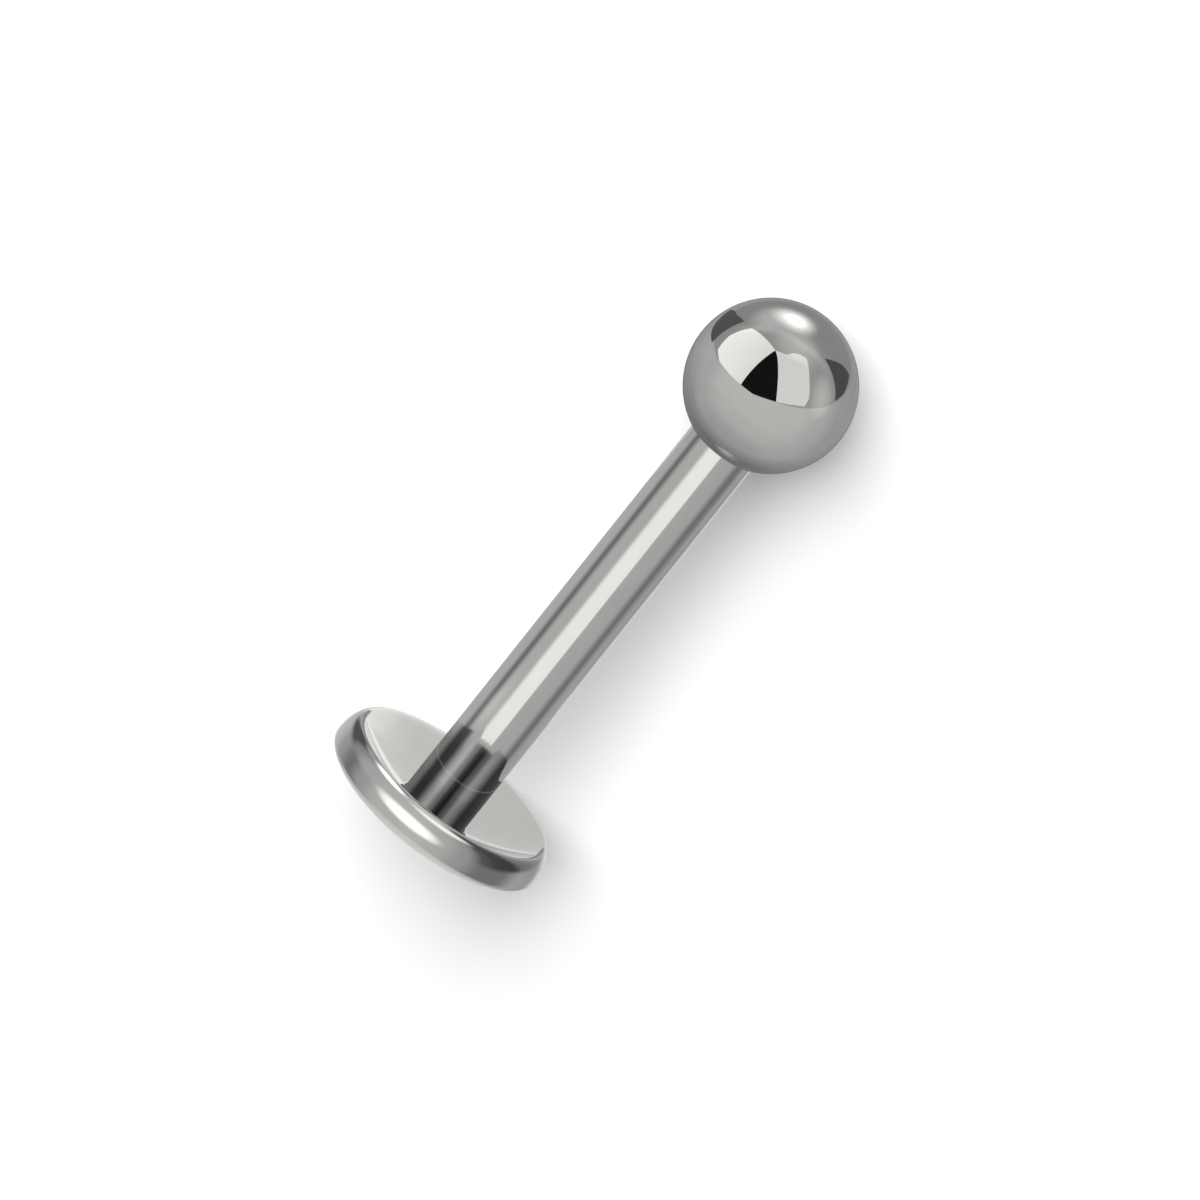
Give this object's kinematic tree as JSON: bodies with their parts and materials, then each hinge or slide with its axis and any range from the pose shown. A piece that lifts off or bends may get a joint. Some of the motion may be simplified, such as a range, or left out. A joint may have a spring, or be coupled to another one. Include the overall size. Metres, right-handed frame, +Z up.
{
  "type": "labret stud",
  "caption": "Body-piercing stud: a straight steel bar with a dished disc back and a screw-on ball, lying on its side.",
  "frame": {"origin": "on the surface that the stud lies on, under the middle of its length", "axes": "+X from the disc towards the ball, with the bar falling 3.84 degrees towards the ball; +Z up"},
  "size_m": [0.0116, 0.0042, 0.0043],
  "materials": {
    "polished_steel": "bare surgical steel, polished, with faint lathe and buffing marks",
    "ball_steel": "bare surgical steel, mirror polished"
  },
  "bodies": {
    "post": {"labret_post": "polished_steel"},
    "ball": {"ball": "ball_steel"}
  },
  "joints": [
    {"name": "ball_off", "type": "slide", "parent": "post", "child": "ball", "axis": [0.9978, 0, -0.0669], "range_m": [0, 0.0025]}
  ]
}
